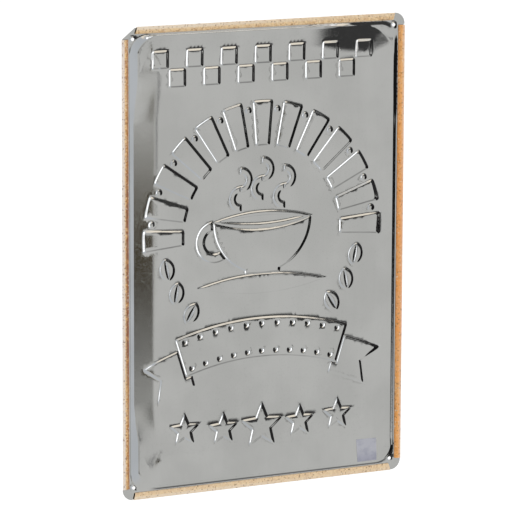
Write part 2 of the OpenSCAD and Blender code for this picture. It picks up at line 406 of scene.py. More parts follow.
# %% Cards and flags
ceiling = rise.ramp(22, 55)
table = rise.ramp(-59, -62)
tablecloth = between(rise, -58, -38, 1) * between(side, 35, 62, 2)
left_wall = side.ramp(-72, -80) * between(rise, -50, 45, 6)
right_wall = between(side, 50, 150, 6) * between(rise, -45, 45, 6)
window = between(side, 71, 97, 2) * between(rise, -50, 45, 4)
far_flag = between(side, -68, -28, 2) * between(rise, -12.1, 27, 0.6)
near_flag = between(side, -28, 4, 2) * between(rise, -24, 27, 1)
low_flag = between(side, -60, 12, 4) * between(rise, -62, -17, 1)
gleam = between(side, 5.5, 9, 1.2) * between(rise, -16, -12.6, 0.4)
room = [
    (ceiling, grey(0.12)),
    (table, grey(1.25)),
    (right_wall, (0.68, 0.71, 0.75)),
    (window, (2.4, 2.42, 2.46)),
    (left_wall, grey(1.05)),
    (far_flag, grey(0.01)),
    (near_flag, grey(0.01)),
    (low_flag, grey(0.03)),
    (gleam, grey(0.92)),
    (band, band_colour),
    (streak, grey(0.15)),
    (top_patch, grey(0.055)),
    (low_dark, grey(0.03)),
    (tablecloth, (1.25, 1.14, 0.98)),
]
view = (0.70, 0.70, 0.685)
for mask, colour in room:
    view = blend(mask, view, colour)

ambient = 0.8
light = blend(light_path(world_tree, "Is Camera Ray"), grey(ambient), grey(1.0))
light = blend(light_path(world_tree, "Is Glossy Ray"), light, view)
world_tree.links.new(light.socket, world_tree.nodes["Background"].inputs["Color"])
print(len(room), "cards and flags painted on the world")

# %% [markdown]
# Two large, faint lamps, one in front of the sign and one behind, shape the print and the hems.
# They are hidden from glossy rays, so the metal doesn't mirror them.


# %% Lamps
def softbox(name, at, size, power):
    lamp = bpy.data.lights.new(name, "AREA")
    lamp.shape = "RECTANGLE"
    lamp.size = size
    lamp.size_y = size
    lamp.energy = power
    piece = bpy.data.objects.new(name, lamp)
    piece.location = at
    piece.rotation_euler = (-Vector(at)).to_track_quat("-Z", "Y").to_euler()
    piece.visible_glossy = False
    scene.collection.objects.link(piece)


lamp_size = 1.0
lamp_power = 14
softbox("front_lamp", (-1.2, -2.0, 1.6), lamp_size, lamp_power)
softbox("back_lamp", (1.4, 2.2, 1.8), lamp_size, lamp_power)
print("two lamps of", lamp_power, "W")

# %% [markdown]
# ## Outlines as distances
#
# A motif is described by one formula that gives the distance from any point of the sheet to
# the motif's edge, negative inside. The larger of two distances is where both shapes overlap
# and the smaller is their union, and a soft version of each rounds the corners as a press
# tool must. One description then gives the walls, the mesh lines and the edges of the ink.


# %% Joining and turning
def both(a, b, soft=0.8):
    h = np.maximum(soft - np.abs(a - b), 0) / soft
    return np.maximum(a, b) + h * h * soft / 4


def either(a, b, soft=0.8):
    return -both(-a, -b, soft)


def turned(x, z, degrees):
    a = math.radians(degrees)
    return x * math.cos(a) + z * math.sin(a), z * math.cos(a) - x * math.sin(a)


print("where two edges meet, the soft corner lies", both(0.0, 0.0), "mm inside both")


# %% Basic shapes
def block(x, z, half_x, half_z, r=0.0):
    qx = np.abs(x) - half_x + r
    qz = np.abs(z) - half_z + r
    return np.hypot(np.maximum(qx, 0), np.maximum(qz, 0)) + np.minimum(np.maximum(qx, qz), 0) - r


def disc(x, z, r):
    return np.hypot(x, z) - r


def ring(x, z, r, half_t):
    return np.abs(np.hypot(x, z) - r) - half_t


def lens(x, z, w, h, soft=0.6):
    r = (w * w / 4 + h * h / 4) / h
    return both(disc(x, z - (h / 2 - r), r), disc(x, z + (h / 2 - r), r), soft)


def nearest_turn(x, z, step, shift=0.0, limit=None):
    """Turns each point to the nearest of many spokes. Returns across and along that spoke."""
    a = np.arctan2(x, z)
    i = np.round(a / step - shift)
    if limit is not None:
        i = np.clip(i, *limit)
    a = a - (i + shift) * step
    r = np.hypot(x, z)
    return r * np.sin(a), r * np.cos(a)


print("a point 1 mm outside a disc is at", float(disc(3.0, 4.0, 4.0)), "mm from its edge")

# %% [markdown]
# ## The layout
#
# A generic trade design stands on the sheet: a checked strip, a cup in a half sunburst, an empty
# ribbon and a row of stars, in one column with equal gaps. Lengths are those of the construction.

# %% Driving sizes of the motifs
groove = 1.4
check = 12.0
check_rows = 2
art_margin = 10.6
art_foot = 7.0
art_w = 2 * (panel_x - art_margin)
art_h = 2 * (panel_z - art_margin) - art_foot
art_top = panel_z - art_margin
check_cols = math.floor(art_w / check)
ray_len = 28.0
ray_steps = 12
ray_share = 0.6
pearl_r = 1.7
bean_l = 14.0
bean_w = 9.5
bean_step = 14.0
ribbon_h = 25.0
ribbon_rise = 11.0
tail_w = 23.0
tail_drop = 8.0
tail_notch = 8.0
stud_r = 1.2
stud_in = 3.6
studs = 11
star_big = 15.0
star_small = 10.5
star_pitch = 27.5
cup_drop = 0.52
print(f"the design is {art_w:.1f} mm wide and {art_h:.1f} mm high, with {check_cols} columns of checks")

# %% Places in the column
column = art_h - check_rows * check - (ribbon_h + ribbon_rise + tail_drop) - 2 * star_big
sun_r = min(art_w / 2, (column - 9) / (1 + cup_drop))
row_gap = (column - sun_r * (1 + cup_drop)) / 3
sun_z = art_top - check_rows * check - row_gap - sun_r
ribbon_z = sun_z - cup_drop * sun_r - row_gap
star_z = ribbon_z - (ribbon_h + ribbon_rise + tail_drop) - row_gap - star_big

cup_r = sun_r - ray_len - 4
bowl_r = 0.66 * cup_r
bowl_z = sun_z + 0.16 * cup_r
mouth_h = 0.2 * cup_r
foot_w = 0.46 * cup_r
saucer_z = bowl_z - bowl_r - 0.6 * groove - 0.12 * cup_r
handle_r = 0.25 * cup_r
handle_t = 0.1 * cup_r
steam_r = 0.115 * cup_r
steam_t = 0.07 * cup_r
steam_z = bowl_z + mouth_h / 2 + 2 * groove

ribbon_half = art_w / 2 - tail_w
ribbon_arc = (ribbon_half**2 + ribbon_rise**2) / (2 * ribbon_rise)
ribbon_c = ribbon_z - ribbon_arc - ribbon_h
ribbon_a = math.asin(ribbon_half / (ribbon_arc + ribbon_h))
tail_a = math.asin((ribbon_half + tail_w) / (ribbon_arc + ribbon_h))
tail_in = 6 / (ribbon_arc + ribbon_h)
print(f"sunburst {sun_r:.1f} mm round z = {sun_z:.1f}, ribbon at {ribbon_z:.1f}, stars at {star_z:.1f}")

# %% [markdown]
# ### Checks and sunburst
#
# What repeats is a loop or a fold of the plane. Each check is a block with rounded corners. For
# the rays and the pearls between them, every point is first turned to its nearest spoke, so the
# formula of one ray draws them all.


# %% Checks, rays and pearls
def checks(x, z):
    far = np.full_like(x, 1e3)
    half = (check - groove) / 2
    for row in range(check_rows):
        for col in range(check_cols):
            if (row + col) % 2 == 0:
                at_x = (col - (check_cols - 1) / 2) * check
                at_z = art_top - (row + 0.5) * check
                far = np.minimum(far, block(x - at_x, z - at_z, half, half, 0.9))
    return far


def rays(x, z):
    step = math.pi / ray_steps
    half = step * ray_share / 2
    across, along = nearest_turn(x, z - sun_z, step, 0, (-ray_steps / 2, ray_steps / 2))
    side = np.abs(across) * math.cos(half) - along * math.sin(half)
    return both(side, np.abs(np.hypot(across, along) - sun_r + ray_len / 2) - ray_len / 2, 1.6)


def pearls(x, z):
    step = math.pi / ray_steps
    limit = (-ray_steps / 2, ray_steps / 2 - 1)
    across, along = nearest_turn(x, z - sun_z, step, 0.5, limit)
    return disc(across, along - (sun_r - 3 * pearl_r), pearl_r)


print(ray_steps + 1, "rays with", ray_steps, "pearls between them")

# %% [markdown]
# ### The cup
#
# The bowl is half a disc on a small foot, and a lens cut from its top leaves a groove round the
# mouth. The handle is a ring that stops one groove short of the bowl. Each wisp of steam is
# two half rings, one bent to each side.


# %% Cup, saucer and steam
def bowl(x, z):
    z = z - bowl_z
    body = both(disc(x, z, bowl_r), z, 1.2)
    body = both(body, -lens(x, z, 2 * bowl_r + 2 * groove, mouth_h + 2 * groove), 0.6)
    foot = block(x, z + bowl_r - foot_w / 8, foot_w / 2, foot_w / 8, 0.6)
    return either(body, foot, 1.0)


def handle(x, z):
    z = z - bowl_z
    loop = ring(x - 0.98 * bowl_r, z + 0.36 * bowl_r, handle_r - handle_t / 2, handle_t / 2)
    return both(loop, bowl_r + groove - np.hypot(x, z), 0.8)


def mouth(x, z):
    z = z - bowl_z
    return both(lens(x, z, 2 * bowl_r, mouth_h), -lens(x, z, 1.7 * bowl_r, mouth_h / 2), 0.4)


def saucer(x, z):
    return lens(x, z - saucer_z, 1.72 * cup_r, 0.24 * cup_r, 1.2)


def steam(x, z):
    far = np.full_like(x, 1e3)
    for at in (-2.6, 0, 2.6):
        base = steam_z + (steam_r if at == 0 else 0)
        for up, way in ((1, 1), (3, -1)):
            dx = x - at * steam_r
            half = both(ring(dx, z - base - up * steam_r, steam_r, steam_t / 2), -way * dx, 0.4)
            far = np.minimum(far, half)
    return far


print(f"the bowl is {2 * bowl_r:.1f} mm wide and stands on a foot of {foot_w:.1f} mm")


# %% [markdown]
# ### The beans
#
# Three beans lie on each side below the rays, on the same circle. A bean is a fat lens with a
# thin one cut out along its middle, and each is turned a little further than the last.


# %% Beans
def beans(x, z):
    far = np.full_like(x, 1e3)
    mid = sun_r - ray_len / 2
    for i in (1, 2, 3):
        below = (i + 0.15) * bean_step
        low = math.radians(below)
        dx = np.abs(x) - mid * math.cos(low)
        dz = z - sun_z + mid * math.sin(low)
        dx, dz = turned(dx, dz, 60 + 35 * i - below)
        slit = lens(dx, dz, bean_l - 2.5 * groove, 0.9 * groove, 0.2)
        bean = both(lens(dx, dz, bean_l, bean_w), -slit, 0.4)
        far = np.minimum(far, bean)
    return far


print(f"beans of {bean_l:.0f} mm, {bean_step:.0f} degrees apart")


# %% [markdown]
# ### Ribbon and stars
#
# The ribbon is a stretch of a wide ring round a point far below it, so its ends hang down. Its
# tails are the same ring set a little lower, notched at the ends and cut away round the ribbon.
# A star folds the plane onto one of its five points, where one straight edge is enough.


# %% Ribbon, studs and tails
def ribbon_band(x, z):
    z = z - ribbon_c
    r = np.hypot(x, z)
    side = (np.abs(np.arctan2(x, z)) - ribbon_a) * r
    return both(np.abs(r - ribbon_arc - ribbon_h / 2) - ribbon_h / 2, side, 1.2)


def ribbon_studs(x, z):
    limit = (-(studs - 1) / 2, (studs - 1) / 2)
    across, along = nearest_turn(x, z - ribbon_c, 2 * ribbon_a / studs, 0, limit)
    outer = disc(across, along - (ribbon_arc + ribbon_h - stud_in), stud_r)
    return np.minimum(outer, disc(across, along - (ribbon_arc + stud_in), stud_r))


def ribbon(x, z):
    return both(ribbon_band(x, z), -ribbon_studs(x, z), 0.2)


def tails(x, z):
    dz = z - ribbon_c + tail_drop
    r = np.hypot(x, dz)
    a = np.abs(np.arctan2(x, dz))
    span = np.abs(a - (ribbon_a - tail_in + tail_a) / 2) - (tail_a - ribbon_a + tail_in) / 2
    body = both(np.abs(r - ribbon_arc - ribbon_h / 2) - ribbon_h / 2, span * r, 1.0)
    slope = tail_notch / (ribbon_h / 2)
    out = (a - tail_a) * r
    notch = (slope * np.abs(r - ribbon_arc - ribbon_h / 2) - tail_notch - out) / math.hypot(1, slope)
    body = both(body, -notch, 1.0)
    return both(body, groove - ribbon_band(x, z), 0.8)


print(f"the ribbon bends on a radius of {ribbon_arc:.0f} mm")


# %% Stars
star_inner = 0.45
star_rise = 0.6
star_blunt = 0.25
star_step = math.radians(72)


def stars(x, z):
    far = np.full_like(x, 1e3)
    for i in range(-2, 3):
        r = star_big if i == 0 else star_small
        across, along = nearest_turn(x - i * star_pitch, z - star_z - star_rise * i * i, star_step)
        across = np.sqrt(across**2 + star_blunt)
        edge_x = r * star_inner * math.sin(star_step / 2)
        edge_z = r * star_inner * math.cos(star_step / 2) - r
        length = math.hypot(edge_x, edge_z)
        far = np.minimum(far, (across * -edge_z + (along - r) * edge_x) / length)
    return far


print(f"five stars, {star_pitch:.1f} mm apart")


# %% [markdown]
# ## Height of the pressed sheet
#
# The sheet's back is a height above the rim at every point: a small wall, a straight sloping
# border that bends into the flat middle, and the motifs on top. Soft steps give walls that
# start and end gently, as metal does when a rubber pad pushes it into a die.

# %% Motifs and their heights
MOTIFS = {
    "checks": (checks, 0.8),
    "rays": (rays, 0.8),
    "pearls": (pearls, 0.6),
    "bowl": (bowl, 0.8),
    "handle": (handle, 0.8),
    "mouth": (mouth, 0.6),
    "saucer": (saucer, 0.6),
    "steam": (steam, 0.6),
    "beans": (beans, 0.6),
    "ribbon": (ribbon, 0.8),
    "tails": (tails, 0.6),
    "stars": (stars, 0.8),
}
depth = step_h + slope_h
print(len(MOTIFS), "motifs on a panel that is", depth, "mm deep")


def smooth(t):
    """A soft step from 0 to 1 as t goes from 0 to 1."""
    t = np.clip(t, 0, 1)
    return t * t * (3 - 2 * t)


def art(x, z):
    """Distance to the nearest motif."""
    return np.minimum.reduce([shape(x, z) for shape, _ in MOTIFS.values()])


# %% [markdown]
# A real sheet never fills its die evenly. Here the wall is high and steep along the top, and it
# leans back along one side, most of all near that side's ends. One upper corner was drawn
# deeper, so its border is wider. Each of these is a share between 0 and 1 that scales a size.
# Left and right are as seen from behind here, so left is where x is above 0. A side's share
# grows over turn_run degrees of the corner.


# %% Where the panel is uneven
left_from = 14
right_from = 40
turn_run = 35
strain_x = 22
strain_z = 70
near_end_z = 88
hole_reach = 10


def strained(x, z):
    """Share of the strain in one upper corner, where the press drew the sheet deeper."""
    return smooth((-x - strain_x) / 52) * smooth((z - strain_z) / 50)


def sideways(x, z, start):
    """0 along the panel's top and bottom, 1 along its sides, changing from start degrees round."""
    out_x = np.abs(x) - panel_x + slope_in + slope_r
    out_z = np.abs(z) - panel_z + slope_in + slope_r
    turn = np.degrees(np.arctan2(np.maximum(out_x, 0), np.maximum(out_z, 0)))
    return smooth((turn - start) / turn_run)


def shares(x, z):
    """The share of each stretch of the panel's edge at each point."""
    left = sideways(x, z, left_from) * (x > 0)
    right = sideways(x, z, right_from) * (x < 0)
    return {
        "left": left,
        "right": right,
        "end": 1 - left - right,
        "upper": z > 0,
        "near_end": smooth((np.abs(z) - near_end_z) / 30),
        "strain": strained(x, z),
        "hole_corner": smooth(1 - np.hypot(-x - hole_x, z - hole_z) / hole_reach),
    }


print(f"the strained corner's share of strain is {strained(-panel_x, panel_z):.2f}")


# %% The wall round the panel
end_wall_w = 0.8
end_wall_h = 1.4
left_wall_w = 3.0
left_wall_h = -0.2
left_end_w = 4.0
left_end_h = 1.25
hole_wall_h = 0.35
strain_foot = 0.7
hole_foot = 2.0
lower_foot = 0.6


def wall_size(at):
    """Width and height of the wall between the rim and the sloping border."""
    end_w = end_wall_w * at["end"] * (1 + 1.5 * at["strain"])
    left_w = (left_wall_w + left_end_w * at["near_end"]) * at["left"]
    left_h = (left_end_h * at["near_end"] + left_wall_h) * at["left"]
    end_h = at["end"] * at["upper"] * (end_wall_h - 2.0 * at["strain"])
    high = step_h + left_h + end_h + hole_wall_h * at["hole_corner"]
    return end_w + left_w + step_w * at["right"], high - 0.2 * at["strain"] * at["right"]


def wall_share(x, z, at, wall_w):
    """0 on the rim, 1 at the top of the wall. The wall's foot reaches a little onto the rim."""
    lower_end = at["end"] * (1 - at["upper"])
    foot = strain_foot * at["strain"] + hole_foot * at["hole_corner"] + lower_foot * lower_end
    inside = -block(x, z, panel_x, panel_z, panel_r)
    share = (inside + foot) / (wall_w + foot)
    return either(both(share, 0 * share, 0.1), 0 * share + 1, 0.15)


side_wall_w, side_wall_h = wall_size(shares(np.array([panel_x]), np.array([0.0])))
print(f"halfway up the left side the wall is {side_wall_w[0]:.1f} mm wide, {side_wall_h[0]:.2f} high")


# %% The sloping border
left_wider = 0.17
left_end_wider = 0.13
strain_wider = 0.24
strain_shift = 0.8
left_slack = 0.45


def border_share(x, z, at, wall_w):
    """0 at the top of the wall, 1 on the flat middle: a straight slope and a round bend."""
    inside = -block(x, z, panel_x - slope_in, panel_z - slope_in, slope_r)
    wider = (left_wider + left_end_wider * at["near_end"]) * at["left"]
    inside = inside * (1 - strain_wider * at["strain"] - wider)
    taken = np.maximum(wall_w - slope_in - left_slack * at["left"], 0)
    inside = slope_w - (slope_w - inside) * slope_w / (slope_w - taken)
    inside = inside + strain_shift * at["strain"] * (1 - at["left"])
    short = np.clip(slope_w - inside, 0, bend_w)
    bend = slope_h - bend_r + np.sqrt(bend_r**2 - short**2)
    straight = np.minimum(inside - slope_w + bend_w, 0) * math.tan(slope_a)
    return both(bend + straight, 0 * straight, 0.04) / slope_h


def panel_height(x, z):
    at = shares(x, z)
    wall_w, wall_h = wall_size(at)
    wall = wall_share(x, z, at, wall_w) * wall_h
    return wall + border_share(x, z, at, wall_w) * (depth - wall_h)


print(f"the flat middle is {panel_height(np.zeros(1), np.zeros(1))[0]:.2f} mm above the rim")


# %% [markdown]
# ### Embossing
#
# A motif's wall has a steep part and a shallow apron round it, where the metal is drawn along.
# Both wander a little, because sheet metal never follows the die exactly. The nail holes are
# punched from behind, so their rims are drawn in.

# %% Relief and nail holes
wall_half = 0.95
apron_half = 1.9
apron_share = 0.3
dish_w = 0.5
dish_h = 0.15


def wobble(x, z):
    """A slow, even unrest between -1 and 1."""
    crossing = np.sin(0.7 * x + 0.25 * z + 1) * np.sin(0.65 * z - 0.3 * x + 2)
    return (crossing + np.sin(0.19 * x + 0.4 * z)) / 2


def relief(x, z):
    high = np.zeros_like(x)
    unrest = wobble(x, z)
    half = wall_half * (1 + 0.06 * unrest)
    for shape, raised in MOTIFS.values():
        away = shape(x, z) + 0.05 * unrest
        steep = smooth((half - away) / (2 * half))
        apron = smooth((apron_half - away) / (2 * apron_half))
        high = np.maximum(high, raised * (steep * (1 - apron_share) + apron * apron_share))
    return high


def dishes(x, z):
    around = np.hypot(np.abs(x) - hole_x, np.abs(z) - hole_z) - hole_r
    return dish_h * smooth(1 - around / dish_w)


def height(x, z):
    return panel_height(x, z) + relief(x, z) + dishes(x, z)


middle_height = height(np.array([0.0]), np.array([0.0]))[0]
print(f"the sheet stands {middle_height:.2f} mm off the rim at its middle")

# %% [markdown]
# ## A mesh that follows the design
#
# A plain grid fine enough for these walls would need millions of faces. Instead, lines of
# points are laid along every motif's edge at several distances from it, like the contour
# lines of a map. A Delaunay triangulation joins them with a coarser scatter of points in
# between, so the faces are small only where the metal bends.
#
# A contour is found by marching squares: each square of a fine grid has some corners above
# the level and some below, and a small table says through which sides the line goes.


# %% Ways through a square
WAYS = {
    1: [(3, 0)], 2: [(0, 1)], 3: [(3, 1)], 4: [(1, 2)], 5: [(3, 2), (1, 0)],
    6: [(0, 2)], 7: [(3, 2)], 8: [(2, 3)], 9: [(2, 0)], 10: [(0, 3), (2, 1)],
    11: [(2, 1)], 12: [(1, 3)], 13: [(1, 0)], 14: [(0, 3)],
}
print(len(WAYS), "kinds of square have a contour in them")


# %% Contour lines
def contours(field, xs, zs, level):
    """Closed lines where field equals level, as arrays of points."""
    above = field > level
    points = {}

    def cross(kind, i, j):
        """Where the level crosses one side of a square: kind 0 runs along x and kind 1 along z."""
        key = (kind, i, j)
        if key not in points:
            a = field[j, i]
            b = field[j, i + 1] if kind == 0 else field[j + 1, i]
            t = (level - a) / (b - a)
            x = xs[i] + (t * (xs[i + 1] - xs[i]) if kind == 0 else 0)
            z = zs[j] + (t * (zs[j + 1] - zs[j]) if kind == 1 else 0)
            points[key] = (x, z)
        return key

    code = above[:-1, :-1] + 2 * above[:-1, 1:] + 4 * above[1:, 1:] + 8 * above[1:, :-1]
    following = {}
    for j, i in np.argwhere((code > 0) & (code < 15)):
        sides = ((0, i, j), (1, i + 1, j), (0, i, j + 1), (1, i, j))
        for start, end in WAYS[int(code[j, i])]:
            following[cross(*sides[start])] = cross(*sides[end])
    lines = []
    while following:
        first, here = next(iter(following.items()))
        line = [points[first]]
        del following[first]
        while here != first and here in following:
            line.append(points[here])
            here = following.pop(here)
        lines.append(np.array(line))
    return lines


ruler = np.linspace(-2, 2, 21)
circle_line = contours(disc(*np.meshgrid(ruler, ruler), 1.0), ruler, ruler, 0.0)[0]
print("as a trial, the contour of a disc has", len(circle_line), "points")


# %% Even spacing
def even(line, spacing, fewest=8):
    """The same closed line with points at even distances."""
    closed = np.vstack([line, line[:1]])
    run = np.r_[0, np.cumsum(np.hypot(*np.diff(closed, axis=0).T))]
    count = max(fewest, int(round(run[-1] / spacing)))
    at = np.linspace(0, run[-1], count, endpoint=False)
    return np.c_[np.interp(at, run, closed[:, 0]), np.interp(at, run, closed[:, 1])]


print("every half millimetre, that contour has", len(even(circle_line, 0.5)), "points")


# %% [markdown]
# ### The sheet's outline
#
# The hems stop short of the corners, each at its own place and angle, because the blank's
# corners are notched by hand tools. The table gives where a hem's rolled edge and its free edge
# end, from the sign's corner. The rim has its own small step there.

# %% Where the hems end
HEM_ENDS = {
    "hem_top": ((7.5, 8.7), (10.5, 9.1)),
    "hem_bottom": ((7.6, 9.1), (hem_end, 8.5)),
    "hem_left": ((hem_end, 7.8), (8.1, 7.8)),
    "hem_right": ((hem_end, 7.6), (7.7, 7.7)),
}
rim_step = 0.3


def rim_end(sx, sz):
    """How far from one corner the rim's two sides stop, for the corner on sides sx and sz."""
    flat_hem = "hem_top" if sz > 0 else "hem_bottom"
    side_hem = "hem_right" if sx > 0 else "hem_left"
    end_x = min(HEM_ENDS[flat_hem][(sx + 1) // 2]) - rim_step
    end_z = min(HEM_ENDS[side_hem][(sz + 1) // 2]) - rim_step
    return max(end_x, corner_r), max(end_z, corner_r)


rim_ends = {(sx, sz): rim_end(sx, sz) for sx in (-1, 1) for sz in (-1, 1)}
for end_x, end_z in rim_ends.values():
    print(f"the rim's sides stop {end_x:.1f} and {end_z:.1f} mm from a corner")

# %% [markdown]
# Three corners are rounded and bare. The fourth was clipped straight, as the photograph shows.

# %% Outline of the flat rim
clip_from = (sign_w / 2 - 0.5, sign_h / 2 - 7.4)
clip_to = (sign_w / 2 - 8.9, sign_h / 2 - 0.9)
rim_spacing = 2.5


def rim_corner(sx, sz):
    """The outline from the end of the side hem, round one corner, to the end of the flat hem."""
    side_x = sign_w / 2 - roll_r
    side_z = sign_h / 2 - roll_r
    gap_x = sign_w / 2 - rim_ends[sx, sz][0]
    gap_z = sign_h / 2 - rim_ends[sx, sz][1]
    if (sx, sz) == (1, 1):
        return np.vstack([(side_x, gap_z), clip_from, clip_to, (gap_x, side_z)])
    quarter = np.linspace(0, math.pi / 2, 17)
    arc = np.c_[np.cos(quarter), np.sin(quarter)] * corner_r
    corner = np.array([sign_w / 2 - corner_r, sign_h / 2 - corner_r]) + arc
    start = [(side_x, gap_z), (sign_w / 2, gap_z)]
    end = [(gap_x, sign_h / 2), (gap_x, side_z)]
    return np.vstack([start, corner, end]) * (sx, sz)


def rim_loop():
    parts = []
    for sx, sz in ((1, 1), (-1, 1), (-1, -1), (1, -1)):
        part = rim_corner(sx, sz)
        parts.append(part if sx == sz else part[::-1])
    loop = np.vstack(parts)
    dense = []
    for a, b in zip(loop, np.roll(loop, -1, axis=0)):
        steps = max(1, int(math.hypot(*(b - a)) / rim_spacing))
        dense.append(a + (b - a) * np.arange(steps)[:, None] / steps)
    return np.vstack(dense)


print("the rim's outline has", len(rim_loop()), "points")


# %% Where there is metal
def beyond_clip(x, z):
    """True outside the one corner that was clipped straight."""
    run_x = clip_to[0] - clip_from[0]
    run_z = clip_to[1] - clip_from[1]
    return run_z * (x - clip_from[0]) - run_x * (z - clip_from[1]) > 0


def in_rim(x, z):
    """True inside the outline and outside the nail holes."""
    keep = (block(x, z, sign_w / 2, sign_h / 2, corner_r) < 0) & ~beyond_clip(x, z)
    keep &= np.hypot(np.abs(x) - hole_x, np.abs(z) - hole_z) > hole_r
    for (sx, sz), (end_x, end_z) in rim_ends.items():
        here = (x * sx >= 0) & (z * sz >= 0)
        keep &= ~(here & (np.abs(x) > sign_w / 2 - roll_r) & (np.abs(z) < sign_h / 2 - end_z))
        keep &= ~(here & (np.abs(z) > sign_h / 2 - roll_r) & (np.abs(x) < sign_w / 2 - end_x))
    return keep


middle_and_hole = in_rim(np.array([0.0, hole_x]), np.array([0.0, hole_z]))
print("metal at the sign's middle and at a nail hole:", middle_and_hole.tolist())


# %% [markdown]
# ### Lines of points
#
# Round the panel, rounded rectangles inside each other follow the wall, the border and its
# bend. Round a motif, seven lines lie between the foot and the top of its wall.


# %% Loops round the panel and the holes
def rounded_loop(half_x, half_z, r, spacing):
    quarter = np.linspace(0, math.pi / 2, 24)
    arcs = []
    for i, (sx, sz) in enumerate(((1, 1), (-1, 1), (-1, -1), (1, -1))):
        a = quarter + i * math.pi / 2
        arcs.append(np.c_[sx * (half_x - r) + r * np.cos(a), sz * (half_z - r) + r * np.sin(a)])
    return even(np.vstack(arcs), spacing)


def panel_loop(inset, spacing):
    """A line round the foot of the wall, inset from the panel's outline."""
    return rounded_loop(panel_x - inset, panel_z - inset, panel_r - inset, spacing)


def border_loop(inset, spacing):
    """A line round the sloping border, inset from its outer edge."""
    inside = slope_in + inset
    return rounded_loop(panel_x - inside, panel_z - inside, slope_r - inset, spacing)


def hole_loops(r):
    turn = np.linspace(0, 2 * math.pi, 28, endpoint=False)
    circle = np.c_[np.cos(turn), np.sin(turn)] * r
    return [circle + (sx * hole_x, sz * hole_z) for sx in (1, -1) for sz in (1, -1)]


print("a loop round the panel takes", len(panel_loop(0, 1.0)), "points at 1 mm")


# %% All lines of the sheet
grid_step = 0.4
grid_x = np.arange(-panel_x, panel_x + grid_step, grid_step)
grid_z = np.arange(-panel_z, panel_z + grid_step, grid_step)
art_field = art(*np.meshgrid(grid_x, grid_z))

motif_levels = (-0.95, -0.6, -0.28, 0.0, 0.28, 0.6, 0.95)
wall_insets = (-0.15, 0.3, 0.8, 1.4, 1.9, 2.6, 3.4, 4.2, 5.0, 5.8, 6.6, 7.4)
bend_at = slope_w - bend_w
bend_insets = (2.0, bend_at, bend_at + bend_w / 3, bend_at + bend_w * 2 / 3, slope_w)
motif_spacing = 0.9
wall_spacing = 1.6
border_spacing = 2.2
fewest_points = 6

loops = [rim_loop(), *hole_loops(hole_r), *hole_loops(hole_r + dish_w / 2)]
for level in motif_levels:
    for line in contours(art_field, grid_x, grid_z, level):
        if len(line) > fewest_points:
            loops.append(even(line, motif_spacing))
loops.extend(panel_loop(inset, wall_spacing) for inset in wall_insets)
loops.extend(border_loop(inset, border_spacing) for inset in bend_insets)
print(f"{len(loops)} lines with {sum(len(line) for line in loops)} points")


# %% [markdown]
# The scatter in between follows the panel: loops on its sloping border, where the sheet curves,
# and a sparse grid on the flat middle. Points too close to a contour line are dropped.


# %% Scattered points
border_insets = (3.6, 5.4, 7.4, 9.4, 12.0, 14.2, 16.4)
rim_insets = (2.4, 4.6)
scatter_step = 2.6
middle_step = 3.0
middle_x = 72
middle_z = 122
art_gap = 1.3


def middle_grid():
    """A grid on the flat middle, with every other row shifted by half a step."""
    across = np.arange(-middle_x, middle_x + 0.1, middle_step)
    upwards = np.arange(-middle_z, middle_z + 0.1, middle_step)
    gx, gz = np.meshgrid(across, upwards)
    gx = gx + (np.arange(gx.shape[0]) % 2)[:, None] * middle_step / 2
    return np.c_[gx.ravel(), gz.ravel()]


def scatter():
    spots = [border_loop(inset, scatter_step) for inset in border_insets]
    for inset in rim_insets:
        half_x = sign_w / 2 - inset
        half_z = sign_h / 2 - inset
        spots.append(rounded_loop(half_x, half_z, corner_r - inset, scatter_step))
    spots = np.vstack([*spots, middle_grid()])
    clear = np.abs(art(*spots.T)) > art_gap
    return spots[clear & in_rim(*spots.T)]


print(len(middle_grid()), "points in the grid on the flat middle, before any is dropped")


# %% Triangulate the sheet
def triangulate():
    """Points of the sheet and its triangles, with every line kept as edges."""
    points = []
    edges = []
    for loop in loops:
        start = len(points)
        points.extend(loop.tolist())
        edges.extend((start + i, start + (i + 1) % len(loop)) for i in range(len(loop)))
    points.extend(scatter().tolist())
    flat = [Vector(p) for p in points]
    made = delaunay_2d_cdt(flat, edges, [], 0, 1e-5)
    verts = np.array([(v.x, v.y) for v in made[0]])
    faces = np.array([f for f in made[2] if len(f) == 3])
    middle = verts[faces].mean(axis=1)
    faces = faces[in_rim(*middle.T)]
    used = np.unique(faces)
    renumber = np.zeros(len(verts), int)
    renumber[used] = np.arange(len(used))
    return verts[used], renumber[faces]


sheet_xz, sheet_faces = triangulate()
print(f"{len(sheet_xz)} points, {len(sheet_faces)} triangles a side")


# %% [markdown]
# ## Both sides of the sheet
#
# The back and the front are the same map, 0.3 mm apart, and the cut edges close the gap.
# Smooth shading normally averages the faces round a point. Here the exact slope is known from
# the height formula, so it is written into the mesh, and the flat metal stays truly flat.


# %% Faces of both sides
def border(faces):
    """Edges that only one triangle uses, in that triangle's order."""
    ends = np.vstack([faces[:, (0, 1)], faces[:, (1, 2)], faces[:, (2, 0)]])
    key = np.sort(ends, axis=1)
    _, first, count = np.unique(key, axis=0, return_index=True, return_counts=True)
    return ends[first[count == 1]]


def facing_back():
    """The triangles, all turned so that their outer side is the sign's back."""
    a, b, c = sheet_xz[sheet_faces].transpose(1, 0, 2)
    turn = (b[:, 0] - a[:, 0]) * (c[:, 1] - a[:, 1]) - (b[:, 1] - a[:, 1]) * (c[:, 0] - a[:, 0])
    return np.where((turn < 0)[:, None], sheet_faces, sheet_faces[:, ::-1])


def sheet_sides():
    """Faces of the back, the front and the cut edge. The front's points follow the back's."""
    n = len(sheet_xz)
    back = facing_back()
    edge = border(back)
    cut = np.c_[edge[:, 1], edge[:, 0], edge[:, 0] + n, edge[:, 1] + n]
    return back, back[:, ::-1] + n, cut


print(len(border(sheet_faces)), "edges lie on the outline or round a nail hole")


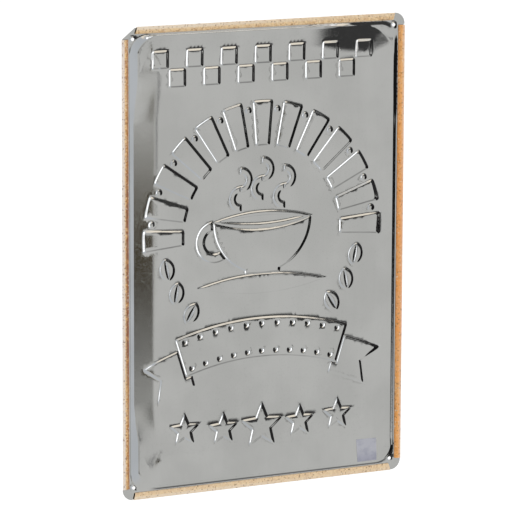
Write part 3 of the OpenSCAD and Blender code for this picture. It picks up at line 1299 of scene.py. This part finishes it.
# %% Slopes and distances
def slope(x, z, reach=0.05):
    along_x = (height(x + reach, z) - height(x - reach, z)) / (2 * reach)
    along_z = (height(x, z + reach) - height(x, z - reach)) / (2 * reach)
    return along_x, along_z


def write_normals(mesh, x, z, first_cut):
    """The height formula's own slope as the normal. Cut edges, from first_cut on, stay sharp."""
    slope_x, slope_z = slope(x, z)
    up = np.c_[slope_x, np.ones(len(x)), slope_z]
    up /= np.linalg.norm(up, axis=1)[:, None]
    normals = np.vstack([up, -up])
    corner = np.empty(len(mesh.loops), int)
    mesh.loops.foreach_get("vertex_index", corner)
    loop_normals = normals[corner]
    loop_normals[mesh.polygons[first_cut].loop_start:] = 0
    mesh.normals_split_custom_set(loop_normals.tolist())


def write_distances(mesh, x, z):
    """Each point's distance to every motif, which the printed front is drawn from."""
    distances = {name: shape(x, z) for name, (shape, _) in MOTIFS.items()}
    distances["any"] = art(x, z)
    distances["coffee"] = lens(x, z - bowl_z, 1.7 * bowl_r, mouth_h / 2, 0.4)
    distances["studs"] = ribbon_studs(x, z)
    distances["outline"] = block(x, z, panel_x, panel_z, panel_r)
    for name, distance in distances.items():
        layer = mesh.attributes.new("to_" + name, "FLOAT", "POINT")
        near = np.clip(distance, -12, 12)
        layer.data.foreach_set("value", np.tile(near, 2).astype(np.float32))


border_x = panel_x - slope_in - slope_w / 2
border_slope = slope(np.array([border_x]), np.array([0.0]))[0][0]
print(f"the border on the left tilts by {-math.degrees(math.atan(border_slope)):.1f} degrees")


# %% The sheet as one piece
def new_piece(name, verts, faces, materials, face_material=None):
    mesh = bpy.data.meshes.new(name)
    mesh.from_pydata(verts, [], faces)
    for material in materials:
        mesh.materials.append(material)
    if face_material is not None:
        mesh.polygons.foreach_set("material_index", face_material)
    mesh.update()
    piece = bpy.data.objects.new(name, mesh)
    scene.collection.objects.link(piece)
    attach(piece, "root")
    return piece


def build_sheet(materials):
    x, z = sheet_xz.T
    y = -height(x, z)
    verts = np.vstack([np.c_[x, y, z], np.c_[x, y - sheet_t, z]]) * MM
    back, front, cut = sheet_sides()
    faces = [*back.tolist(), *front.tolist(), *cut.tolist()]
    kinds = np.repeat([0, 1, 0], [len(back), len(front), len(cut)])
    piece = new_piece("tin_sheet", verts.tolist(), faces, materials, kinds)
    first_cut = len(back) + len(front)
    piece.data.polygons.foreach_set("use_smooth", np.arange(len(faces)) < first_cut)
    write_normals(piece.data, x, z, first_cut)
    write_distances(piece.data, x, z)
    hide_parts("sign_plate")
    return piece


print("the sheet's two sides have", 2 * len(sheet_xz), "points")


# %% [markdown]
# ## Bare tinplate
#
# Tin on steel is a soft mirror: bright, hardly blurred, with a fine grain that sparkles where
# the room behind is dark. The colour is nearly neutral. Faint streaks run along the rolling
# direction, and a few handling marks change only the roughness.


# %% Tin material
def tin_material():
    material, tree, shader = new_material("bare_tin", Metallic=1.0)
    where = place(tree)
    grain = noise(where, 0.45, 2, 0.6)
    streak = noise(place(tree, (1, 1, 0.05)), 2.2, 3, 0.6)
    cloud = noise(where, 45, 3, 0.5)
    smudge = noise(where, 14, 4, 0.6).ramp(0.56, 0.72)
    pits = noise(where, 0.75, 2, 0.7).ramp(0.56, 0.68)
    shade = cloud.ramp(0.36, 0.64) * 0.7 + streak * 0.3
    colour = blend(shade, (0.560, 0.563, 0.556), (0.632, 0.634, 0.628))
    join(colour, shader, "Base Color")
    join(grain * 0.015 + streak * 0.015 + smudge * 0.02 + pits * 0.12 + 0.02, shader, "Roughness")
    bump(grain, shader, 0.11, 0.0001)
    return material


bare_tin = tin_material()
print("bare tin is made of", len(bare_tin.node_tree.nodes), "nodes")


# %% [markdown]
# ## The printed tin of the hems
#
# The hems are the printed side of the sheet, folded back. The print is a worn, sandy orange
# full of fine brown and cream grain under a clear varnish. It is paler towards the rolled edge:
# partly worn print, and partly a painted highlight for the varnish's gleam where the roll curves
# away, painted weaker on the hem at x below 0. How far a point lies from the sign's edge decides
# how pale it is, so one material serves all four hems.


# %% Where a point of a hem lies
def axes(tree):
    """The three coordinates of a point on the object, in millimetres."""
    own = add_node(tree, "ShaderNodeTexCoord", out=3)
    parts = tree.nodes.new("ShaderNodeSeparateXYZ")
    tree.links.new(own.socket, parts.inputs[0])
    return [Val(tree, socket) * (1 / MM) for socket in parts.outputs]


def away_from_edge(x, z):
    """Distance from the sign's nearest edge in millimetres, and 1 on the top and bottom hems."""
    from_side = sign_w / 2 - x.math("ABSOLUTE")
    from_end = sign_h / 2 - z.math("ABSOLUTE")
    on_end = (from_side - from_end).ramp(-0.1, 0.1)
    return from_side.math("MINIMUM", from_end), on_end


print(f"a hem's free edge lies {hem_w:.1f} mm from the sign's edge")


# %% Hem material
def hem_material():
    varnish = {"Roughness": 0.45, "Coat_Weight": 0.3, "Coat_Roughness": 0.12}
    material, tree, shader = new_material("printed_hem", **varnish)
    where = place(tree)
    x, y, z = axes(tree)
    edge, on_end = away_from_edge(x, z)
    to_right = x.ramp(60, -60)
    fine = noise(where, 1.5, 3, 0.75)
    coarse = noise(where, 3.5, 3, 0.65)
    drift = noise(where, 30, 2, 0.5)
    colour = blend(fine.ramp(0.42, 0.58), srgb(190, 126, 56), srgb(246, 206, 144))
    colour = blend(coarse.ramp(0.48, 0.60) * 0.6, colour, srgb(238, 206, 160))
    on_side = 1 - on_end
    warmed = (drift.ramp(0.35, 0.60) * 0.5 + 0.3) * to_right * on_side
    colour = blend(warmed, colour, srgb(248, 170, 84))
    # Partly painted highlight: this pale band along the rolled edge stands for the varnish's gleam as
    # well as worn print, and is painted weaker on the hem at x below 0.
    pale = (edge + coarse * 1.2 + fine * 1.4 - on_end * 0.4).ramp(3.7, 2.2) * (1 - to_right * 0.6)
    colour = blend(pale * 0.9, colour, srgb(244, 233, 222))
    inner = (edge + fine * 1.0).ramp(3.0, 4.1) * (1 - on_end * 0.75) * (1 - to_right * 0.7)
    colour = blend(inner * 0.75, colour, srgb(164, 100, 46))
    colour = blend(on_end * 0.45, colour, srgb(238, 216, 176))
    middle = between(z, -75, 62, 25) * on_side
    rust = coarse.ramp(0.38, 0.50) * (edge + fine).ramp(2.3, 3.3) * middle
    colour = blend(rust * x.ramp(0, 10) * 0.75, colour, srgb(128, 62, 30))
    colour = blend(middle * to_right * 0.4, colour, srgb(244, 148, 54))
    colour = blend(on_end * z.ramp(10, -10) * 0.4, colour, srgb(250, 224, 190))
    dots = noise(where, 1.3, 2, 0.6).ramp(0.60, 0.66)
    colour = blend(dots * 0.7, colour, srgb(124, 80, 46))
    flecks = noise(where, 1.25, 3, 0.7).ramp(0.59, 0.66)
    colour = blend(flecks * 0.6, colour, srgb(252, 240, 220))
    # Painted shadow: a near-black line at the foot of each lip, where the free edge meets the sheet.
    slit = y.ramp(0.35, 0.12) * edge.ramp(hem_w - 0.9, hem_w - 0.5)
    colour = blend(slit * 0.9, colour, srgb(44, 34, 26))
    join(colour, shader, "Base Color")
    bump(fine * 0.5 + coarse, shader, 0.25, 0.0001)
    return material


printed_hem = hem_material()
print("the hems' print is made of", len(printed_hem.node_tree.nodes), "nodes")


# %% Inside of a fold
def hem_inside_material():
    """Painted shade: bare tin inside a fold, coloured dark in blotches to stand in for the shadow in
    the hollow, with little to mirror.
    """
    material, tree, shader = new_material("hem_inside_shade", Metallic=0.3, Roughness=0.7)
    fold_shade_blotches = noise(place(tree), 1.5, 3, 0.6)
    # Painted shade: the dark, blotched base colour stands in for the shadow inside the fold.
    join(blend(fold_shade_blotches, srgb(22, 20, 18), srgb(52, 48, 44)), shader, "Base Color")
    return material


hem_inside_shade = hem_inside_material()
print("the inside of a fold is made of", len(hem_inside_shade.node_tree.nodes), "nodes")


# %% [markdown]
# ## The hems
#
# A hem is made by bending the edge up, over and flat. Its section is one open line: half a
# circle round the rolled edge, a flap that is slightly crowned, and a lip that turns down to
# the sheet. The line is given the thickness of the tin and swept along the edge. The free edge
# waves by about a tenth of a millimetre, and each end is cut at the angle of its notch.


# %% Section of a hem
def hem_line():
    """Middle line of the folded tin: distance from the sign's edge, and height towards the wall."""
    middle_r = roll_r - sheet_t / 2
    turn = np.radians(np.linspace(0, 180, 15))
    roll = np.c_[roll_r - middle_r * np.sin(turn), wall_y - roll_r - middle_r * np.cos(turn)]
    top = wall_y - sheet_t / 2
    flap_u = np.linspace(roll_r, hem_w - 1.2, 7)[1:]
    flap = np.c_[flap_u, top - 0.05 * ((flap_u - roll_r) / hem_w) ** 2]
    t = np.linspace(0, 1, 8)[1:, None]
    start = flap[-1]
    knee = np.array([hem_w - 0.42, top - 0.03])
    foot = np.array([hem_w - sheet_t / 2, sheet_t * 0.2])
    lip = start * (1 - t) ** 2 + 2 * knee * t * (1 - t) + foot * t**2
    return np.vstack([roll, flap, lip])


def hem_section():
    """Outer and inner surface of the folded tin, each as a line of points."""
    middle = hem_line()
    ahead = np.gradient(middle, axis=0)
    ahead /= np.linalg.norm(ahead, axis=1)[:, None]
    outward = np.c_[-ahead[:, 1], ahead[:, 0]]
    half = sheet_t / 2
    return middle + outward * half, middle - outward * half


hem_outer, hem_inner = hem_section()
print(f"hem section of {len(hem_outer)} points, {hem_outer[:, 1].max() + sheet_t:.2f} mm thick")

# %% [markdown]
# ### Sweeping the section
#
# The section is placed at many stations along an edge of the sign. Faces join each station to
# the next, and a strip of faces closes each end of the folded tin.

# %% Points of a hem
hem_ring = np.vstack([hem_outer, hem_inner[::-1]])
flat_stations = 61
side_stations = 91
wave_in = 0.028
wave_down = 0.012
wave_top = 2.1


def hem_wave(run, number):
    """A slow wave along an edge, different for each hem, between 0 and twice wave_top."""
    wave = np.sin(run / 9.7 + number * 2.1) + 0.6 * np.sin(run / 4.3 + number)
    return wave + 0.5 * np.sin(run / 23 + 1) + wave_top


def hem_points(name, number, along_x, sign):
    """The section's points at every station. along_x is true for the top and bottom hems."""
    half = (sign_w if along_x else sign_h) / 2
    reach = (sign_h if along_x else sign_w) / 2
    (low_roll, low_free), (high_roll, high_free) = HEM_ENDS[name]
    share = np.linspace(0, 1, flat_stations if along_x else side_stations)[:, None]
    u, v = hem_ring.T
    to_free = np.clip(u / hem_w, 0, 1)
    low = -half + low_roll + (low_free - low_roll) * to_free
    high = half - high_roll - (high_free - high_roll) * to_free
    run = low + (high - low) * share
    wave = hem_wave(run, number)
    across = sign * (reach - (u - wave_in * wave * to_free**2))
    towards_wall = v - wave_down * wave * to_free * (v > wall_y / 2)
    x, z = (run, across) if along_x else (across, run)
    return np.stack([x, towards_wall, z], axis=-1)


print(f"{len(hem_ring)} points at each of {flat_stations} or {side_stations} stations of a hem")


# %% Faces of a hem
def hem_faces(stations, turned_over):
    """Faces between the stations and over both ends, and 1 for each face inside the fold."""
    n = len(hem_ring)
    m = len(hem_outer)
    i = np.arange(stations - 1)[:, None] * n
    j = np.arange(n)[None, :]
    following = (j + 1) % n
    quads = np.stack([i + j, i + following, i + n + following, i + n + j], axis=-1)
    caps = [(k, n - 1 - k, n - 2 - k, k + 1) for k in range(m - 1)]
    far = (stations - 1) * n
    far_caps = [tuple(far + c for c in cap[::-1]) for cap in caps]
    faces = quads.reshape(-1, 4).tolist() + caps + far_caps
    if turned_over:
        faces = [face[::-1] for face in faces]
    inner = np.tile((np.arange(n) >= m) & (np.arange(n) < n - 1), stations - 1)
    kinds = np.r_[inner, np.zeros(2 * len(caps), bool)].astype(int)
    return faces, kinds


def shade_soft(mesh):
    """Smooth shading that keeps edges of more than 50 degrees sharp."""
    mesh.polygons.foreach_set("use_smooth", np.ones(len(mesh.polygons), bool))
    mesh.set_sharp_from_angle(angle=math.radians(50))


def build_hem(name, number, along_x, sign, materials):
    points = hem_points(name, number, along_x, sign)
    faces, kinds = hem_faces(len(points), along_x == (sign > 0))
    verts = (points.reshape(-1, 3) * MM).tolist()
    piece = new_piece(name + "_fold", verts, faces, materials, kinds)
    shade_soft(piece.data)
    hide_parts(name)
    print(name, "has", len(faces), "faces")


# %% [markdown]
# ## The label
#
# A small paper label is stuck low on the back. It is thin enough to follow the sloping border
# of the panel, and one corner has begun to lift. The sheet's own height formula places it.


# %% Paper
label_w = 14.0
label_h = 14.5
label_t = 0.1
label_low, label_high = node_box("back_label")
label_x = (label_low[0] + label_high[0]) / 2
label_z = (label_low[2] + label_high[2]) / 2


def label_material():
    material, tree, shader = new_material("label_paper", Roughness=0.75)
    where = place(tree)
    fibre = noise(where, 0.35, 3, 0.6)
    stain = noise(where, 5, 3, 0.6)
    low = (axes(tree)[2] - label_z).ramp(1.0, -6.0)
    colour = blend(fibre, srgb(172, 173, 183), srgb(196, 197, 204))
    colour = blend(stain.ramp(0.42, 0.62) * 0.5, colour, srgb(156, 158, 172))
    colour = blend(low * 0.5, colour, srgb(150, 151, 170))
    join(colour, shader, "Base Color")
    bump(fibre, shader, 0.3, 0.0001)
    return material


paper = label_material()
print(f"label {label_w} x {label_h} mm round x = {label_x:.1f}, z = {label_z:.1f}")
print("its paper is made of", len(paper.node_tree.nodes), "nodes")


# %% Points of the label
label_rows = 29
crease_h = 0.03
lift_h = 0.25


def label_points():
    """The paper's top, then its underside: on the sheet, with a faint crease and a lifted corner."""
    share = np.linspace(-0.5, 0.5, label_rows)
    s, t = np.meshgrid(share, share)
    x = label_x + s * label_w
    z = label_z + t * label_h
    crease = crease_h * np.sin(9 * s + 4 * t) * np.sin(7 * t - 2 * s)
    lift = lift_h * smooth((0.5 - s - 0.5 + t) * 1.6 - 0.72)
    y = -height(x, z) + label_t + np.clip(crease, 0, None) + lift
    top = np.c_[x.ravel(), y.ravel(), z.ravel()]
    return np.vstack([top, top - (0, label_t * 0.8, 0)])


print("the label has", len(label_points()), "points")


# %% Faces of the label
def label_faces():
    """Faces of the top and the underside, and a strip of faces round the rim."""
    n = label_rows * label_rows
    faces = []
    for j in range(label_rows - 1):
        for i in range(label_rows - 1):
            a = j * label_rows + i
            b = a + label_rows
            faces.append((a, b, b + 1, a + 1))
            faces.append((a + n, a + n + 1, b + n + 1, b + n))
    rim = [*range(label_rows), *range(2 * label_rows - 1, n, label_rows)]
    rim += [*range(n - 2, n - label_rows - 1, -1), *range(n - 2 * label_rows, 0, -label_rows)]
    for a, b in zip(rim, rim[1:] + rim[:1]):
        faces.append((a, b, b + n, a + n))
    return faces


def build_label(material):
    verts = (label_points() * MM).tolist()
    piece = new_piece("label_sheet", verts, label_faces(), [material])
    shade_soft(piece.data)
    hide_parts("back_label")


print("and", len(label_faces()), "faces")


# %% [markdown]
# ## The printed front
#
# The front is lithographed before it is pressed, so ink and relief share one drawing. Each
# point carries its distance to every motif, and a thin range of that distance is an outline.
# The photograph doesn't show the front, so the ink is aged as on the hems: sandy grain over
# everything and fading towards the rim, with rubbed patches on the raised edges, a few long
# scratches and dark specks.


# %% Printing inks
CREAM = srgb(240, 222, 186)
SAND = srgb(222, 174, 116)
RED = srgb(160, 52, 38)
DARK_RED = srgb(118, 36, 30)
BROWN = srgb(66, 38, 24)
COFFEE = srgb(92, 52, 30)
GOLD = srgb(226, 170, 74)
PORCELAIN = srgb(246, 236, 214)
STEAM = srgb(196, 150, 104)
ink_soft = 0.12


class Press:
    """Lays one ink after another on a material."""

    def __init__(self, tree, ground):
        self.tree = tree
        self.colour = ground

    def to(self, motif):
        settings = {"attribute_name": "to_" + motif}
        return add_node(self.tree, "ShaderNodeAttribute", settings, out=2)

    def lay(self, mask, ink):
        self.colour = blend(mask, self.colour, ink)

    def fill(self, motif, ink, line=BROWN, line_w=0.9):
        """A motif in one ink, with an outline inside its edge."""
        distance = self.to(motif)
        self.lay(distance.ramp(ink_soft, -ink_soft), line)
        self.lay(distance.ramp(ink_soft - line_w, -ink_soft - line_w), ink)


def far_from(x, z, middle):
    """Distance from a point on the sign's middle line."""
    up = z - middle
    return (x * x + up * up).math("SQRT")


print(f"the edge of an ink fades over {2 * ink_soft:.2f} mm")


# %% Inks of the upper half
def print_borders(press, x, z):
    """A dark and a pale line round the panel, and the pale strip behind the checks."""
    inset = press.to("outline")
    press.lay(inset.ramp(-6.4, -6.1) * inset.ramp(-4.4, -4.7), BROWN)
    press.lay(inset.ramp(-3.8, -3.6) * inset.ramp(-3.0, -3.2), CREAM)
    strip = (z - art_top + check_rows * check / 2).math("ABSOLUTE").ramp(check + 0.6, check + 0.3)
    strip = strip * x.math("ABSOLUTE").ramp(art_w / 2 + 0.2, art_w / 2 - 0.1)
    press.lay(strip, CREAM)


def print_sunburst(press, x, z):
    """Gold behind the rays, a pale disc inside them, and rays in two inks by turns."""
    sun = far_from(x, z, sun_z)
    disc_r = sun_r - ray_len
    press.lay(sun.ramp(sun_r + 2.6, sun_r + 2.3) * z.ramp(sun_z - 4.0, sun_z - 3.7), GOLD)
    press.lay(sun.ramp(disc_r - 1.2, disc_r - 1.6), CREAM)
    turn = x.math("ARCTAN2", z - sun_z) * (ray_steps / math.pi)
    odd = turn.math("ROUND").math("MODULO", 2).math("ABSOLUTE")
    ray_ink = blend(odd.ramp(0.4, 0.6), RED, CREAM)
    press.fill("rays", ray_ink, line_w=0.6)
    press.fill("pearls", RED, line_w=0.4)


def print_cup(press, z):
    press.fill("saucer", CREAM, line_w=0.8)
    press.fill("handle", CREAM, line_w=0.6)
    press.fill("bowl", PORCELAIN, line_w=1.0)
    below = bowl_z - z
    stripe = press.to("bowl").ramp(-1.6, -2.0) * below.ramp(6.0, 6.3) * below.ramp(10.4, 10.1)
    press.lay(stripe, RED)
    press.lay(press.to("coffee").ramp(0.1, -0.1), COFFEE)
    press.fill("mouth", CREAM, line_w=0.25)
    press.fill("steam", STEAM, line_w=0.3)
    press.fill("beans", COFFEE, line_w=0.7)


# %% Inks of the lower half
def print_ribbon(press, x, z):
    """Dark tails, a red ribbon with a pale line inside its edge, and gold studs."""
    press.fill("tails", DARK_RED)
    press.fill("ribbon", RED)
    half = ribbon_h / 2
    arc = (far_from(x, z, ribbon_c) - (ribbon_arc + half)).math("ABSOLUTE")
    line = arc.ramp(half - 1.9, half - 1.7) * arc.ramp(half - 1.1, half - 1.3)
    press.lay(line * press.to("ribbon").ramp(-0.9, -1.1), CREAM)
    press.lay(press.to("studs").ramp(0.1, -0.1), GOLD)


def print_stars(press, x):
    press.fill("stars", CREAM, line_w=0.8)
    middle_star = x.math("ABSOLUTE").ramp(star_big + 0.2, star_big - 0.2)
    press.lay(press.to("stars").ramp(-2.4, -2.7) * middle_star, GOLD)


# %% Wear of the print
scratch_stretch = 0.08


def wear_print(press, where, fine, coarse, cloud):
    """Grain, fading, rubbed edges, stains, scratches and specks. Returns where the stains are."""
    tree = press.tree
    press.lay(fine.ramp(0.50, 0.66) * 0.28, srgb(248, 222, 172))
    press.lay(fine.ramp(0.46, 0.32) * 0.34, srgb(120, 72, 38))
    fade = (press.to("outline") + coarse * 9).ramp(-7, 7)
    press.lay(fade * 0.55, SAND)
    rubbed = press.to("any").math("ABSOLUTE").ramp(0.9, 0.2) * coarse.ramp(0.52, 0.68)
    press.lay(rubbed * 0.7, srgb(232, 206, 164))
    stains = noise(where, 11, 5, 0.7).ramp(0.60, 0.78)
    press.lay(stains * 0.45, srgb(136, 82, 44))
    scratch = noise(place(tree, (1, 1, scratch_stretch)), 1.1, 2, 0.6).ramp(0.66, 0.72)
    press.lay(scratch * cloud.ramp(0.45, 0.6) * 0.55, srgb(238, 214, 172))
    specks = noise(where, 1.4, 2, 0.6).ramp(0.68, 0.73)
    press.lay(specks * 0.75, srgb(80, 48, 28))
    return stains


print(f"scratches are {1 / scratch_stretch:.1f} times as long as they are wide")


# %% Front material
def print_material():
    material, tree, shader = new_material("printed_front", Coat_Weight=0.35, Coat_Roughness=0.18)
    where = place(tree)
    x, _, z = axes(tree)
    fine = noise(where, 0.9, 3, 0.7)
    coarse = noise(where, 4.0, 4, 0.65)
    cloud = noise(where, 42, 4, 0.55)
    ground = blend(z.ramp(-110, 130), srgb(200, 116, 52), srgb(228, 176, 108))
    ground = blend(cloud.ramp(0.38, 0.66) * 0.6, ground, srgb(236, 196, 138))
    press = Press(tree, ground)
    print_borders(press, x, z)
    print_sunburst(press, x, z)
    press.fill("checks", BROWN)
    print_cup(press, z)
    print_ribbon(press, x, z)
    print_stars(press, x)
    stains = wear_print(press, where, fine, coarse, cloud)
    join(press.colour, shader, "Base Color")
    join(0.34 + coarse * 0.16 + stains * 0.15, shader, "Roughness")
    bump(fine * 0.4 + coarse * 0.6, shader, 0.2, 0.0001)
    return material


printed_front = print_material()
print("the printed front is made of", len(printed_front.node_tree.nodes), "nodes")


# %% [markdown]
# ## Putting it together
#
# The sheet wears two materials, bare tin on its back and ink on its front. Every piece rides on
# the one rigid body, takes the place of its solid in the construction and stays inside its box.

# %% Build every piece
sheet = build_sheet([bare_tin, printed_front])
print("the sheet has", len(sheet.data.polygons), "faces")
hem_skins = [printed_hem, hem_inside_shade]
build_hem("hem_top", 0, True, 1, hem_skins)
build_hem("hem_bottom", 1, True, -1, hem_skins)
build_hem("hem_left", 2, False, -1, hem_skins)
build_hem("hem_right", 3, False, 1, hem_skins)
build_label(paper)
